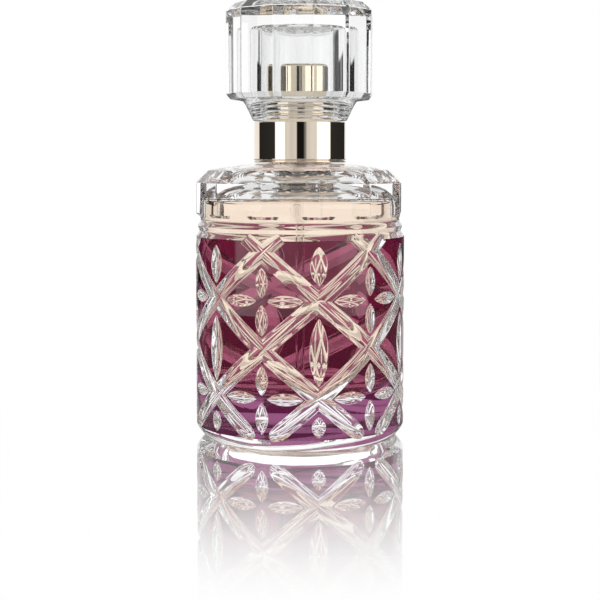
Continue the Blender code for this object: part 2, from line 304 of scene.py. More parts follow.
def add_ripple(material, scale, depth, stretch=EVEN):
    """Bumps the surface by a shallow noise of that depth in metres."""
    nodes, links = material.node_tree.nodes, material.node_tree.links
    noise = object_noise(material, scale, RIPPLE_DETAIL, stretch)
    bump = nodes.new("ShaderNodeBump")
    bump.inputs["Strength"].default_value = 1.0
    bump.inputs["Distance"].default_value = depth
    links.new(noise.outputs["Fac"], bump.inputs["Height"])
    links.new(bump.outputs["Normal"], shader_of(material).inputs["Normal"])


def add_mottle(material, first, second, scale, stretch=EVEN):
    """Blends two near colours by a soft noise."""
    nodes, links = material.node_tree.nodes, material.node_tree.links
    noise = object_noise(material, scale, MOTTLE_DETAIL, stretch)
    blend = nodes.new("ShaderNodeMix")
    blend.data_type = "RGBA"
    blend.inputs[6].default_value = (*first[:3], 1.0)
    blend.inputs[7].default_value = (*second[:3], 1.0)
    spread = nodes.new("ShaderNodeMapRange")
    spread.inputs["From Min"].default_value = MOTTLE_SPREAD[0]
    spread.inputs["From Max"].default_value = MOTTLE_SPREAD[1]
    links.new(noise.outputs["Fac"], spread.inputs["Value"])
    links.new(spread.outputs["Result"], blend.inputs[0])
    links.new(blend.outputs[2], shader_of(material).inputs["Base Color"])


def blend_upwards(material, below, low, high):
    """Turns the base colour to another one towards the foot of the piece, between two heights in metres."""
    nodes, links = material.node_tree.nodes, material.node_tree.links
    socket = shader_of(material).inputs["Base Color"]
    place = nodes.new("ShaderNodeTexCoord")
    parts = nodes.new("ShaderNodeSeparateXYZ")
    rise = nodes.new("ShaderNodeMapRange")
    rise.interpolation_type = "SMOOTHSTEP"
    rise.inputs["From Min"].default_value = low
    rise.inputs["From Max"].default_value = high
    blend = nodes.new("ShaderNodeMix")
    blend.data_type = "RGBA"
    blend.inputs[6].default_value = (*below[:3], 1.0)
    links.new(place.outputs["Object"], parts.inputs["Vector"])
    links.new(parts.outputs["Z"], rise.inputs["Value"])
    links.new(rise.outputs["Result"], blend.inputs[0])
    links.new(socket.links[0].from_socket, blend.inputs[7])
    links.new(blend.outputs[2], socket)


def shaded(colour, factor):
    return tuple(channel * factor for channel in colour[:3])


def clear_glass(name, ior=GLASS_IOR, colour=(0.985, 0.992, 0.990), ripple=0.000004, scale=180.0):
    material = new_material(name, colour, Roughness=0.0, IOR=ior, Transmission_Weight=1.0)
    add_ripple(material, scale, ripple)
    return material


def stained_glass(colour, below):
    material = new_material("plum_stain", colour, Roughness=0.0, IOR=GLASS_IOR, Transmission_Weight=1.0)
    add_mottle(material, shaded(colour, 0.88), shaded(colour, 1.14), scale=140.0, stretch=(1.0, 1.0, 2.5))
    blend_upwards(material, below, low=0.008, high=0.025)
    return material


def polished_gold(name, colour):
    material = new_material(name, colour, Metallic=1.0, Roughness=0.0)
    add_mottle(material, shaded(colour, 0.985), shaded(colour, 1.015), scale=300.0)
    add_ripple(material, scale=260.0, depth=0.0000008)
    return material


def moulded(name, colour, rough, through=0.0):
    material = new_material(name, colour, Roughness=rough, Transmission_Weight=through, IOR=1.45)
    add_mottle(material, shaded(colour, 0.96), shaded(colour, 1.03), scale=400.0)
    add_ripple(material, scale=1500.0, depth=0.000004)
    return material


# ---------------------------------------------------------------- settings


class BottleSizes(bpy.types.PropertyGroup):
    """Sizes of the glass, its cut pattern and the perfume."""

    body_radius: bpy.props.FloatProperty(
        name="Body radius", description="Radius of the stained wall", default=0.026, unit="LENGTH")
    groove_width: bpy.props.FloatProperty(
        name="Groove width", description="Width of the mitre grooves at the surface", default=0.0041,
        unit="LENGTH")
    groove_depth: bpy.props.FloatProperty(
        name="Groove depth", description="Depth of the mitre grooves", default=0.00115, unit="LENGTH")
    petal_depth: bpy.props.FloatProperty(
        name="Petal depth", description="Depth of the lens-shaped petals", default=0.00105, unit="LENGTH")
    cavity_radius: bpy.props.FloatProperty(
        name="Cavity radius", description="Radius of the room for the perfume", default=0.018, unit="LENGTH")
    fill_height: bpy.props.FloatProperty(
        name="Fill height", description="Height of the perfume's surface above the shelf", default=0.059,
        unit="LENGTH")


class Finishes(bpy.types.PropertyGroup):
    """Colours of the glass stain, the perfume and the metal."""

    stain: bpy.props.FloatVectorProperty(
        name="Stain", description="Colour through two layers of the stain", subtype="COLOR", size=3,
        min=0.0, max=1.0, default=(0.135, 0.0115, 0.050))
    stain_below: bpy.props.FloatVectorProperty(
        name="Stain at the foot", description="Colour that the stain turns to at the foot", subtype="COLOR",
        size=3, min=0.0, max=1.0, default=(0.085, 0.008, 0.042))
    perfume: bpy.props.FloatVectorProperty(
        name="Perfume", description="Colour through the whole width of the perfume", subtype="COLOR", size=3,
        min=0.0, max=1.0, default=(0.90, 0.74, 0.61))
    gold: bpy.props.FloatVectorProperty(
        name="Gold", description="Colour of the collar", subtype="COLOR", size=3,
        min=0.0, max=1.0, default=(0.86, 0.755, 0.63))
    button: bpy.props.FloatVectorProperty(
        name="Button gold", description="Colour of the finger button", subtype="COLOR", size=3,
        min=0.0, max=1.0, default=(0.87, 0.775, 0.61))


class StageSettings(bpy.types.PropertyGroup):
    """The camera, the floor and the studio around the bottle."""

    turn: bpy.props.FloatProperty(
        name="Camera turn", description="How far round the bottle the camera stands", subtype="ANGLE",
        default=math.radians(-9.8))
    distance: bpy.props.FloatProperty(
        name="Camera distance", description="Distance from the bottle's axis", default=0.338, unit="LENGTH")
    height: bpy.props.FloatProperty(
        name="Camera height", description="Height above the shelf", default=0.06865, unit="LENGTH")
    lens: bpy.props.FloatProperty(
        name="Lens", description="Focal length in millimetres", default=81.06, min=10.0)
    tilt: bpy.props.FloatProperty(
        name="Camera tilt", description="How far the camera looks down", subtype="ANGLE",
        default=math.radians(3.9))
    shift: bpy.props.FloatProperty(
        name="Frame shift", description="Vertical shift of the frame, as a share of its width", default=-0.08)
    floor_radius: bpy.props.FloatProperty(
        name="Floor radius", description="Radius of the round floor", default=0.30, unit="LENGTH")


# ---------------------------------------------------------------- glass bottle


CROSSING_Z = 12.7
CROSSING_RISE = 11.5
GROOVE_ENDS = (3.05, 50.8)
GROOVE_FULL = 5.6  # height at which a groove reaches its full size
GROOVE_TAPER = 0.1
WALL_LOW = 3.1
WALL_RISE = 46.7
WALL_PARTS = 16
OUTER_FOOT = [
    ("round", 16.5, 0.9), ("round", 17.8, 0.72), ("round", 18.6, 0.5), ("round", 19.2, 0.2),
    ("round", 19.6, 0.04), ("round", 20.0, 0.0), ("round", 23.2, 0.0), ("round", 23.6, 0.08),
    ("round", 24.1, 0.5), ("round", 24.6, 1.0), ("round", 25.1, 1.6), ("round", 25.5, 2.15),
    ("round", 25.8, 2.75),
]
BEADS = [
    (26.0, 49.5), (25.62, 50.3), (25.1, 51.3), (25.5, 52.35), (24.95, 53.3), (24.75, 53.95), (24.9, 54.7),
]
NECK = [
    (17.0, 67.15), (11.6, 67.7), (7.9, 67.8), (7.0, 68.1), (6.6, 68.7), (6.6, 69.7), (7.3, 70.1),
    (7.5, 70.6), (7.5, 73.2), (7.3, 73.65), (6.9, 73.8), (5.2, 73.8), (5.0, 73.6),
]
CEILING = [
    (5.0, 67.2), (5.05, 65.6), (5.5, 64.2), (6.6, 63.2), (8.6, 62.6), (11.4, 62.2), (14.0, 61.6),
    (16.2, 60.6), (17.4, 59.6),
]


def cavity_floor(radius, floor, corner, shrink=0.0, parts=9):
    """(radius, height) points round the bottom corner of the cavity, from its wall to its floor."""
    run = []
    for i in range(parts + 1):
        turn = math.radians(88 * i / parts)
        reach = radius - corner + (corner - shrink) * math.cos(turn)
        run.append((reach, floor + corner - (corner - shrink) * math.sin(turn)))
    return run


def groove_sections(start_angle, hand, radius, width, depth, stations=96):
    """Sections of one mitre groove that climbs one crossing for each twelfth of a turn."""
    slope = math.atan2(CROSSING_RISE, radius * SIDE_ANGLE)
    low, high = GROOVE_ENDS
    sections = []
    for i in range(stations + 1):
        height = low + (high - low) * i / stations
        angle = start_angle + hand * SIDE_ANGLE * (height - CROSSING_Z) / CROSSING_RISE
        short = max(0.0, (GROOVE_FULL - height) / (GROOVE_FULL - low + GROOVE_TAPER))
        size = math.sqrt(1 - short * short)
        sections.append([
            on_wall(radius, angle - hand * across * math.sin(slope) / radius,
                    height + across * math.cos(slope), deep)
            for across, deep in scoop_section(width / 2 * size ** 0.7, depth * size)
        ])
    return sections


def petal_sections(radius, depth, petal, stations=22):
    """Sections of one petal: (angle, height, length, width, upright), pointed at both ends."""
    angle, height, length, width, upright = petal
    sections = []
    for i in range(stations + 1):
        along = -math.cos(math.pi * i / stations)
        swell = 1 - along * along
        middle = along * length / 2
        section = scoop_section(width / 2 * swell ** 0.8 + 0.02, depth * swell - 0.02)
        ring = []
        for across, deep in section:
            if upright:
                ring.append(on_wall(radius, angle + across / radius, height + middle, deep))
            else:
                ring.append(on_wall(radius, angle + middle / radius, height + across, deep))
        sections.append(ring)
    return sections


def petals_round_the_wall():
    """Every petal of the pattern: three on each bold column and two flowers on each mild one."""
    petals = []
    for i in range(SIDES // 2):
        bold = FRONT + 2 * i * SIDE_ANGLE
        mild = bold + SIDE_ANGLE
        petals += [(bold, 23.75, 15.9, 4.6, True), (bold, 43.9, 9.2, 4.2, True), (bold, 6.1, 5.0, 3.4, True)]
        reach = math.radians(12.5)
        for height, lower in ((35.7, 7.3), (12.7, 7.6)):
            petals.append((mild, height + 4.3, 7.0, 3.2, True))
            petals.append((mild, height - 0.9 - lower / 2, lower, 3.2, True))
            petals.append((mild - reach, height, 8.6, 3.0, False))
            petals.append((mild + reach, height, 8.6, 3.0, False))
    return petals


CUTTER_SHARP_ANGLE = 25


def cutter_object(name, runs, material):
    bm = bmesh.new()
    for sections in runs:
        add_scoop(bm, sections)
    bmesh.ops.recalc_face_normals(bm, faces=bm.faces)
    return mesh_object(name, bm, [material], CUTTER_SHARP_ANGLE)


def cut_away(obj, cutters):
    """Subtracts the cutters exactly and keeps their material on the cut faces."""
    for cutter in cutters:
        cut = obj.modifiers.new(cutter.name, "BOOLEAN")
        cut.object = cutter
        cut.operation = "DIFFERENCE"
        cut.solver = "EXACT"
        cut.material_mode = "TRANSFER"
    graph = bpy.context.evaluated_depsgraph_get()
    mesh = bpy.data.meshes.new_from_object(obj.evaluated_get(graph))
    obj.modifiers.clear()
    obj.data = mesh
    mesh.shade_smooth()
    mesh.set_sharp_from_angle(angle=math.radians(SHARP_ANGLE))


def discard(cutters):
    for cutter in cutters:
        bpy.data.objects.remove(cutter, do_unlink=True)


def slot_named(mesh, name):
    return [material.name if material else "" for material in mesh.materials].index(name)


ON_CUT = 0.00002  # how near a point of a cut face lies to its cutter, in metres
OPPOSED = -0.9  # how far a cutter's face turns from the cut face it made, as a cosine
ON_CYLINDER = 0.0002  # how near a point of the stained wall lies to its radius, in metres


class CutterNormals:
    """Looks up the smooth normals of the cutters, which the cut faces take over."""

    def __init__(self, cutters):
        self.corners = []
        self.normals = []
        places, faces = [], []
        for cutter in cutters:
            mesh = cutter.data
            first = len(places)
            places += [vert.co.copy() for vert in mesh.vertices]
            for face in mesh.polygons:
                faces.append([first + index for index in face.vertices])
                self.corners.append([mesh.vertices[index].co.copy() for index in face.vertices])
                self.normals.append([mesh.corner_normals[loop].vector.copy() for loop in face.loop_indices])
        self.tree = BVHTree.FromPolygons(places, faces)

    def facing(self, point, normal):
        """The cutter's normal at a point of a cut face, turned out of the glass, or the face's own."""
        near = self.tree.find_nearest_range(point, ON_CUT)
        found = min(near, key=lambda hit: hit[1].dot(normal), default=None)
        if found is None or found[1].dot(normal) > OPPOSED:
            return normal
        shares = poly_3d_calc(self.corners[found[2]], found[0])
        blend = Vector()
        for share, corner in zip(shares, self.normals[found[2]]):
            blend -= corner * share
        return blend.normalized()


def true_normals(mesh, wall_slot, cut_slot, radius, cutters):
    """Gives the stained wall the normals of its cylinder, and the cuts those of their cutters."""
    normals = [corner.vector.copy() for corner in mesh.corner_normals]
    wheels = CutterNormals(cutters)
    for face in mesh.polygons:
        for loop in face.loop_indices:
            point = mesh.vertices[mesh.loops[loop].vertex_index].co
            if face.material_index == wall_slot and abs(point.xy.length - radius) < ON_CYLINDER:
                normals[loop] = Vector((point.x, point.y, 0.0)).normalized()
            elif face.material_index == cut_slot:
                normals[loop] = wheels.facing(point, face.normal)
    mesh.normals_split_custom_set(normals)


# Faces are painted by place. The first two are how far a face's middle may lie off its surface.
WALL_SLACK = 0.00015
CAVITY_SLACK = 0.0001
STAINED_HEIGHTS = (0.0031, 0.0499)
WETTED_FROM = 0.0105
WETTED_IOR = 1.103
FLOOR_HEIGHT = 11.0
FLOOR_CORNER = 6.5


class PERFUME_OT_glass_bottle(bpy.types.Operator):
    """Models the thick glass with its stained wall, cut grooves and petals, beads, facets and cavity"""

    bl_idname = "perfume.glass_bottle"
    bl_label = "Glass bottle"

    def execute(self, context):
        sizes = context.scene.bottle_sizes
        finishes = context.scene.bottle_finishes
        radius = sizes.body_radius / MM
        clear = clear_glass("body_glass")
        cut = clear_glass("cut_glass", colour=(0.982, 0.985, 0.984), ripple=0.000006)
        stain = stained_glass(finishes.stain, finishes.stain_below)
        wetted = clear_glass("glass_against_perfume", WETTED_IOR, ripple=0.00002)
        obj = mesh_object("cut_glass_bottle", lofted(self.rings(sizes, radius)), [clear, stain, wetted])
        self.paint(obj.data, sizes)
        wheels = self.cutters(sizes, radius, cut)
        cut_away(obj, wheels)
        wall_slot, cut_slot = slot_named(obj.data, "plum_stain"), slot_named(obj.data, "cut_glass")
        true_normals(obj.data, wall_slot, cut_slot, sizes.body_radius, wheels)
        discard(wheels)
        finish_piece(obj, "bottle", "glass_bottle")
        return {"FINISHED"}

    def rings(self, sizes, radius):
        wall = [("round", radius, WALL_LOW + WALL_RISE * i / WALL_PARTS) for i in range(WALL_PARTS + 1)]
        wall[0] = ("round", radius - 0.04, WALL_LOW)
        beads = [("round", r, z) for r, z in eased(BEADS)][1:]
        shoulder = [
            ("facet", 25.9, 55.35), ("facet", 26.0, 55.75), ("facet", 26.0, 63.0), ("facet", 25.9, 63.25),
            ("facet", 22.95, 66.1), ("facet", 22.6, 66.22),
        ]
        neck = [("round", r, z) for r, z in NECK + CEILING]
        cavity = sizes.cavity_radius / MM
        fill = sizes.fill_height / MM
        side = [("round", cavity - 0.25, fill), ("round", cavity, fill - 1.4)]
        floor = [("round", r, z) for r, z in cavity_floor(cavity, FLOOR_HEIGHT, FLOOR_CORNER)]
        return OUTER_FOOT + wall + beads + shoulder + neck + side + floor + [("round", 6.0, 10.95)]

    def paint(self, mesh, sizes):
        """Stains the outer wall, and wets the cavity up to the perfume's surface."""
        low, high = STAINED_HEIGHTS
        for face in mesh.polygons:
            reach = face.center.xy.length
            height = face.center.z
            if reach > sizes.body_radius - WALL_SLACK and low < height < high:
                face.material_index = 1
            elif reach < sizes.cavity_radius + CAVITY_SLACK and WETTED_FROM < height < sizes.fill_height:
                face.material_index = 2

    def cutters(self, sizes, radius, material):
        width, depth = sizes.groove_width / MM, sizes.groove_depth / MM
        rising, falling, petals = [], [], []
        for i in range(SIDES // 2):
            bold = FRONT + 2 * i * SIDE_ANGLE
            rising.append(groove_sections(bold, 1, radius, width, depth))
            falling.append(groove_sections(bold, -1, radius, width, depth - 0.03))
        for petal in petals_round_the_wall():
            petals.append(petal_sections(radius, sizes.petal_depth / MM, petal))
        return [
            cutter_object("rising_grooves", rising, material),
            cutter_object("falling_grooves", falling, material),
            cutter_object("petals", petals, material),
        ]


PERFUME_GAP = 0.03
MENISCUS = [(4.6, 0.0), (14.0, 0.0), (16.4, 0.05), (17.1, 0.2), (17.5, 0.5)]


class PERFUME_OT_perfume(bpy.types.Operator):
    """Models the perfume with its meniscus against the glass"""

    bl_idname = "perfume.perfume"
    bl_label = "Perfume"

    def execute(self, context):
        sizes = context.scene.bottle_sizes
        colour = context.scene.bottle_finishes.perfume
        cavity = sizes.cavity_radius / MM - PERFUME_GAP
        fill = sizes.fill_height / MM
        floor = cavity_floor(cavity, FLOOR_HEIGHT + PERFUME_GAP, FLOOR_CORNER)
        rings = [("round", r, fill + climb) for r, climb in MENISCUS]
        rings += [("round", cavity - 0.25, fill), ("round", cavity, fill - 1.4)]
        rings += [("round", r, z) for r, z in floor] + [("round", 6.0, FLOOR_HEIGHT)]
        inside = new_material("perfume_side", colour, Roughness=0.0, IOR=1.001, Transmission_Weight=1.0)
        surface = new_material("perfume_surface", colour, Roughness=0.0, IOR=1.36, Transmission_Weight=1.0)
        obj = mesh_object("perfume_liquid", lofted(rings), [inside, surface])
        for face in obj.data.polygons:
            if face.center.z > sizes.fill_height - CAVITY_SLACK and face.normal.z > 0.2:
                face.material_index = 1
        finish_piece(obj, "bottle", "perfume")
        return {"FINISHED"}


# ---------------------------------------------------------------- pump and collar


HOUSING = [
    (3.4, 75.8), (7.1, 75.8), (7.1, 75.0), (4.2, 75.0), (4.2, 63.0), (3.2, 61.2), (1.8, 60.2), (1.8, 59.5),
    (1.8, 55.0), (1.05, 55.0), (1.05, 58.6), (0.6, 58.6), (0.6, 59.3), (1.4, 60.1), (1.4, 62.1), (3.0, 62.1),
    (3.0, 74.9), (3.4, 74.9),
]
HOUSING_WETTED_BELOW = 0.0595
TUBE = [(0.5, 58.3), (0.8, 58.3), (0.8, 12.6), (0.5, 12.6)]


class PERFUME_OT_pump(bpy.types.Operator):
    """Models the pump pieces that show through the glass and finishes the hidden ones"""

    bl_idname = "perfume.pump"
    bl_label = "Spray pump"

    def execute(self, context):
        natural = moulded("natural_plastic", (0.80, 0.81, 0.80), rough=0.25, through=0.35)
        white = moulded("white_plastic", (0.86, 0.86, 0.84), rough=0.35)
        rubber = moulded("dark_rubber", (0.03, 0.03, 0.03), rough=0.7)
        steel = new_material("steel", (0.62, 0.63, 0.64), Metallic=1.0, Roughness=0.18)
        add_ripple(steel, scale=2500.0, depth=0.000001)
        aluminium = new_material("aluminium", (0.80, 0.80, 0.80), Metallic=1.0, Roughness=0.25)
        add_ripple(aluminium, scale=1800.0, depth=0.000002, stretch=(1.0, 1.0, 6.0))
        finish_of = {
            "neck_gasket": rubber, "stem_seal": rubber, "crimp_ferrule": aluminium, "pump_turret": white,
            "spring_seat": natural, "inlet_ball": steel, "piston": natural, "poppet": natural, "stem": white,
            "collar_sleeve": white, "actuator_core": white, "nozzle_insert": white,
        }
        for node, material in finish_of.items():
            frame["nodes"][node].data.materials.clear()
            frame["nodes"][node].data.materials.append(material)
        self.housing(natural)
        self.tube()
        self.spring(steel)
        return {"FINISHED"}

    def housing(self, material):
        wetted = new_material(
            "housing_in_perfume", (0.95, 0.95, 0.94), Roughness=0.0, IOR=1.04, Transmission_Weight=1.0)
        shape = turned(softened(HOUSING, 0.15, parts=2), steps=64)
        obj = mesh_object("pump_housing_tube", shape, [material, wetted])
        for face in obj.data.polygons:
            if face.center.z < HOUSING_WETTED_BELOW:
                face.material_index = 1
        finish_piece(obj, "bottle", "pump_housing")

    def tube(self):
        clear = new_material(
            "tube_in_perfume", (0.93, 0.93, 0.92), Roughness=0.05, IOR=1.035, Transmission_Weight=1.0)
        shape = turned(softened(TUBE, 0.08, parts=2), steps=48)
        obj = mesh_object("dip_tube_clear", shape, [clear])
        finish_piece(obj, "bottle", "dip_tube")

    def spring(self, material):
        """Copies the coil with its doubled points merged."""
        bm = bmesh.new()
        bm.from_mesh(frame["nodes"]["return_spring"].data)
        bmesh.ops.remove_doubles(bm, verts=bm.verts, dist=1e-6)
        obj = mesh_object("return_spring_coil", bm, [material], sharp=60)
        finish_piece(obj, "bottle", "return_spring")
        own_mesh(obj)


COLLAR = [
    (7.2, 83.6), (8.4, 83.6), (8.4, 78.1), (11.45, 78.1), (11.45, 68.72), (11.2, 68.6), (11.2, 68.52),
    (11.45, 68.4), (11.45, 68.0), (11.0, 68.0), (11.0, 77.65), (8.0, 77.65), (8.0, 83.2), (7.2, 83.2),
]
BUTTON = [(0.0, 92.1), (6.5, 92.1), (6.5, 84.3), (6.1, 84.3), (6.1, 91.7), (0.0, 91.7)]
GOLD_STEPS = 144
GOLD_SHARP_ANGLE = 30


class PERFUME_OT_collar(bpy.types.Operator):
    """Models the polished collar with its stepped spigot"""

    bl_idname = "perfume.collar"
    bl_label = "Collar"

    def execute(self, context):
        gold = polished_gold("collar_polished_gold", context.scene.bottle_finishes.gold)
        shape = turned(softened(COLLAR, 0.3, parts=4), GOLD_STEPS)
        obj = mesh_object("collar_gold", shape, [gold], GOLD_SHARP_ANGLE)
        finish_piece(obj, "bottle", "collar_shell")
        return {"FINISHED"}


class PERFUME_OT_button(bpy.types.Operator):
    """Models the finger button's gold cup with the hole for its spray nozzle"""

    bl_idname = "perfume.button"
    bl_label = "Button"

    def execute(self, context):
        gold = polished_gold("button_polished_gold", context.scene.bottle_finishes.button)
        shape = turned(softened(BUTTON, 0.75, parts=5, closed=False), GOLD_STEPS, closed=False)
        obj = mesh_object("button_gold", shape, [gold], GOLD_SHARP_ANGLE)
        hole = bmesh.new()
        turn = Matrix.Translation((0.0, 0.0065, 0.0885)) @ Matrix.Rotation(math.pi / 2, 4, "X")
        bmesh.ops.create_cone(
            hole, cap_ends=True, segments=48, radius1=0.0019, radius2=0.0019, depth=0.004, matrix=turn)
        drill = mesh_object("nozzle_hole", hole, [gold])
        cut_away(obj, [drill])
        discard([drill])
        finish_piece(obj, "button", "actuator_shell")
        return {"FINISHED"}


# ---------------------------------------------------------------- cap


CAP_OUTSIDE = [
    (16.15, 107.1), (16.3, 107.05), (18.42, 105.2), (18.5, 105.0), (18.5, 84.95), (18.42, 84.75),
    (17.55, 83.65), (17.4, 83.58),
]
CAP_FLARE = [
    (14.3, 83.2), (14.0, 82.9), (13.5, 82.1), (13.0, 81.1), (12.5, 80.1), (12.05, 79.1), (11.7, 78.5),
    (11.6, 78.4),
]
CAP_HOLLOW = [
    (9.9, 84.4), (9.2, 84.6), (9.1, 84.8), (9.1, 100.0), (9.0, 100.5), (8.7, 100.9), (8.2, 101.15),
    (7.6, 101.2), (4.0, 101.2),
]
CEILING_HEIGHTS = (0.1009, 0.1013)
WAVES = 4
WAVE_PARTS = 7
WAVE_STEP = 0.2
WAVE_DEPTH = 0.15
LINER_RIBS = (82.3, 80.3, 78.5)


class PERFUME_OT_cap(bpy.types.Operator):
    """Models the clear twelve-sided cap with its flared foot and round hollow"""

    bl_idname = "perfume.cap"
    bl_label = "Cap"

    def execute(self, context):
        crystal = clear_glass("cap_crystal_clear", colour=(0.905, 0.907, 0.907))
        ceiling = clear_glass("cap_ceiling", colour=(0.97, 0.972, 0.972), ripple=0.00012, scale=800.0)
        foot = [(10.0, 78.4), (9.9, 78.5)]
        waves = [self.wave_point(i) for i in range(1, WAVES * WAVE_PARTS + 1)]
        rings = [("facet", r, z) for r, z in CAP_OUTSIDE]
        rings += [("round", r, z) for r, z in eased(CAP_FLARE, 2) + foot + waves + CAP_HOLLOW]
        obj = mesh_object("cap_body", lofted(rings), [crystal, ceiling])
        low, high = CEILING_HEIGHTS
        for face in obj.data.polygons:
            if low < face.center.z < high:
                face.material_index = 1
        finish_piece(obj, "cap", "cap_crystal")
        self.liner()
        return {"FINISHED"}

    def wave_point(self, i):
        """A (radius, height) point of the rounded waves inside the cap's foot."""
        return (10.05 - WAVE_DEPTH * math.cos(2 * math.pi * i / WAVE_PARTS), 78.5 + WAVE_STEP * i)

    def liner(self):
        frosted = new_material(
            "frosted_liner", (0.985, 0.975, 0.945), Roughness=0.04, IOR=1.10, Transmission_Weight=1.0)
        add_ripple(frosted, scale=900.0, depth=0.00001)
        profile = [(8.7, 84.1), (9.3, 84.1)]
        for low in LINER_RIBS:
            profile += [(9.3, low + 1.0), (9.7, low + 0.8), (9.7, low)]
            if low > LINER_RIBS[-1]:
                profile += [(9.3, low - 0.2)]
        profile += [(8.7, LINER_RIBS[-1])]
        shape = turned(softened(profile, 0.12, parts=2), steps=120)
        obj = mesh_object("cap_liner_ribs", shape, [frosted], sharp=40)
        finish_piece(obj, "cap", "cap_liner")


# ---------------------------------------------------------------- stage


# How bright each ring of panels is at an angle in degrees, from 0 on the camera's side round to 180 behind.
REFLECTED = [
    (-180, 1.0), (-124, 1.0), (-122, 0.02), (-65, 0.03), (-63, 1.7), (-39, 1.7), (-37, 0.72), (-30, 0.82),
    (-22, 0.70), (-9, 0.78), (-7, 0.01), (9, 0.01), (11, 0.16), (15, 0.3), (17, 0.70), (30, 0.82), (42, 0.80),
    (44, 1.7), (80, 1.7), (82, 0.03), (149, 0.02), (151, 1.0), (180, 1.0),
]
REFLECTED_RAISED = [
    (-180, 1.0), (-114, 1.0), (-111, 0.02), (-72, 0.02), (-68, 1.5), (-38, 1.5), (-35, 0.6), (-9, 0.7),
    (-7, 0.02), (9, 0.02), (14, 0.5), (38, 0.7), (42, 1.5), (76, 1.5), (80, 0.02), (122, 0.04), (128, 1.0),
    (180, 1.0),
]
MIDDLE = [
    (-180, 0.9), (-146, 0.9), (-134, 0.75), (-60, 0.75), (0, 0.8), (60, 0.8), (134, 0.75), (148, 0.9),
    (180, 0.9),
]
UPPER = [
    (-180, 0.9), (-146, 0.9), (-134, 0.35), (-90, 0.30), (-45, 0.25), (0, 0.40), (38, 0.5), (60, 0.35),
    (95, 0.30), (134, 0.35), (148, 0.9), (180, 0.9),
]
THROUGH = [
    (-180, 1.12), (-124, 1.12), (-122, 0.0), (-92, 0.0), (-88, 0.9), (-39, 1.0), (-37, 0.80), (-9, 0.85),
    (-7, 0.1), (9, 0.1), (11, 0.75), (43, 0.80), (45, 1.0), (110, 1.0), (112, 0.0), (131, 0.0), (134, 1.12),
    (180, 1.12),
]
REFLECTED_LOW = [
    (-180, 0.12), (-152, 0.10), (-148, 0.0), (-76, 0.0), (-72, 1.6), (-39, 1.6), (-36, 0.8), (-9, 0.7),
    (9, 0.5), (40, 0.7), (46, 1.3), (76, 1.3), (80, 0.0), (148, 0.0), (152, 0.10), (180, 0.12),
]
BRIGHTEST = 1.7
# The heights of a direction, as sines, between which a ring of panels gives way to the one above it.
LOW_EDGE = (-0.02, -0.01)
LEVEL_EDGE = (0.155, 0.18)
RAISED_EDGE = (0.28, 0.33)
THROUGH_EDGE = (0.28, 0.36)
MIDDLE_EDGE = (0.50, 0.58)
UPPER_EDGE = (0.80, 0.92)
BACKDROP = 1.0
SOFT_LIGHT = 1.15
# What the floor's glow with its painted shade and panels, and its polish, follow: two limits of a value and
# the two levels they stand for.
FLOOR_GLOW = 0.93
NEAR_SHADE = (0.045, 0.085, 0.48, 0.03)
REAR_SHADE = (1.5, 2.5, 0.35, 1.0)
FAR_BEHIND = (2.50, 2.66, 0.0, 0.66)
STEEPNESS = (0.62, 0.78, 1.0, 0.0)
PANELS = 3.0
PANEL_GLOW = (-0.35, 0.0, 0.10, 0.88)
POLISH = (0.035, 0.138, 0.86, 0.0)
SLANT = (0.45, 0.80, 0.05, 1.0)
MIRROR_ROUGHNESS = 0.015
MOST_BOUNCES = 28
MOST_MIRRORED = 10


